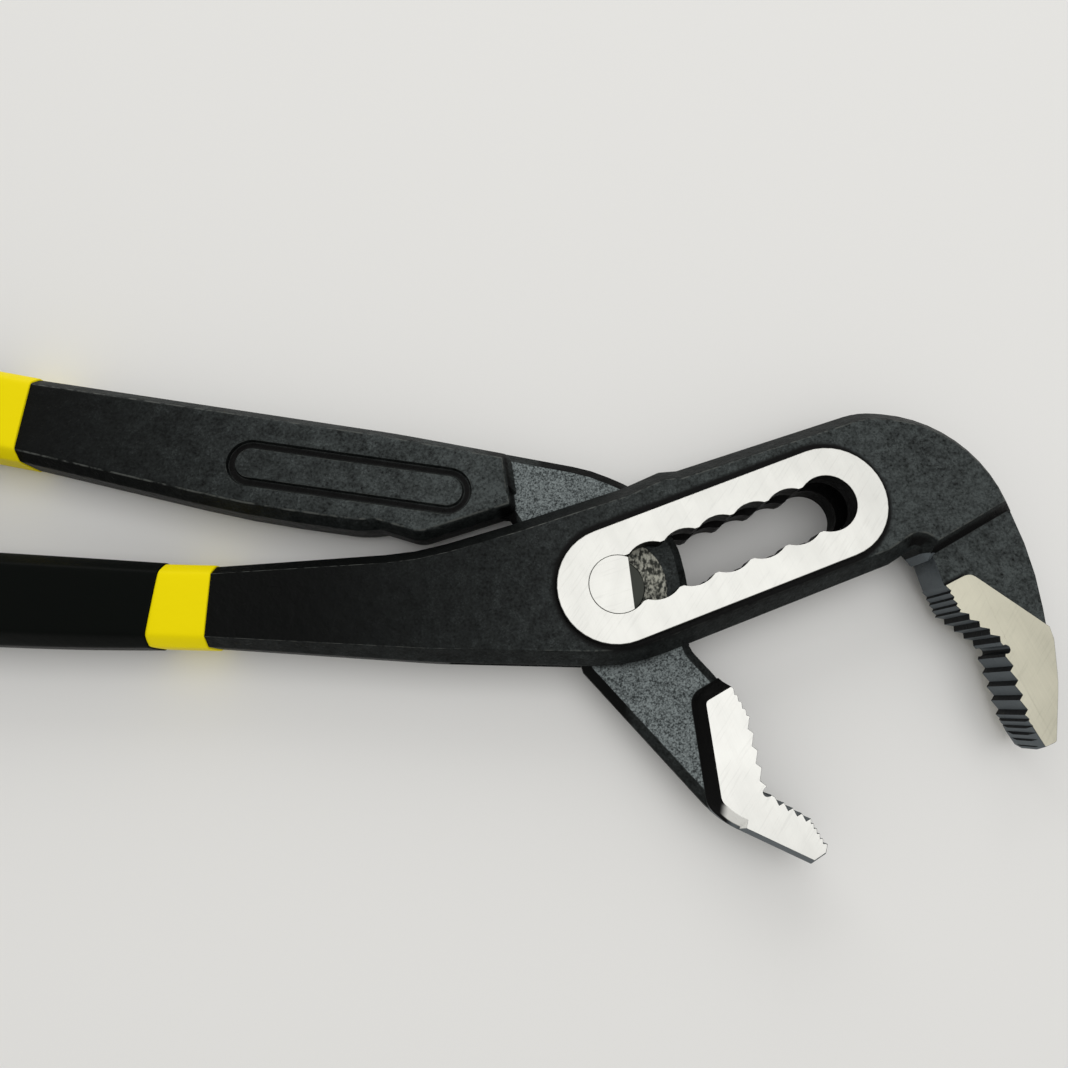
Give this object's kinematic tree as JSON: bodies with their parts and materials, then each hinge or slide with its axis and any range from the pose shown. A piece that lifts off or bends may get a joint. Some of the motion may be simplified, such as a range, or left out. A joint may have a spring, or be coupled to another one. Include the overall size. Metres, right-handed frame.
{
  "type": "water pump pliers",
  "caption": "Adjustable water pump pliers with a stepped slot joint, toothed angled jaws, black forged arms and dipped handle grips with a yellow band.",
  "frame": {"origin": "on the pivot pin's axis, in the plane the tool lies on, with the pin in the slot seat nearest the handles", "axes": "+X from the handles to the jaws, +Y from the lower handle to the upper one, +Z along the pin, up from the plane the tool lies on"},
  "size_m": [0.2871, 0.102, 0.014],
  "materials": {
    "black_forged_steel": "black phosphated forging, ground bright on bosses and jaw faces",
    "ground_steel": "surface ground",
    "yellow_dip": "satin dipped vinyl",
    "black_dip": "satin dipped vinyl"
  },
  "bodies": {
    "slotted_arm": {"slotted_arm": "black_forged_steel", "lower_band_liner": "yellow_dip", "lower_grip": "black_dip"},
    "pivot_pin": {"pivot_pin": "ground_steel"},
    "inner_arm": {"inner_arm": "black_forged_steel", "upper_band_liner": "yellow_dip", "upper_grip": "black_dip"}
  },
  "joints": [
    {"name": "slot_adjust", "type": "slide", "parent": "slotted_arm", "child": "pivot_pin", "axis": [0.9311, 0.3649, 0], "range_m": [0, 0.0405]},
    {"name": "jaw_pivot", "type": "hinge", "parent": "pivot_pin", "child": "inner_arm", "pos_m": [0, 0, 0.007], "axis": [0, 0, -1], "range_deg": [0, 66]}
  ]
}
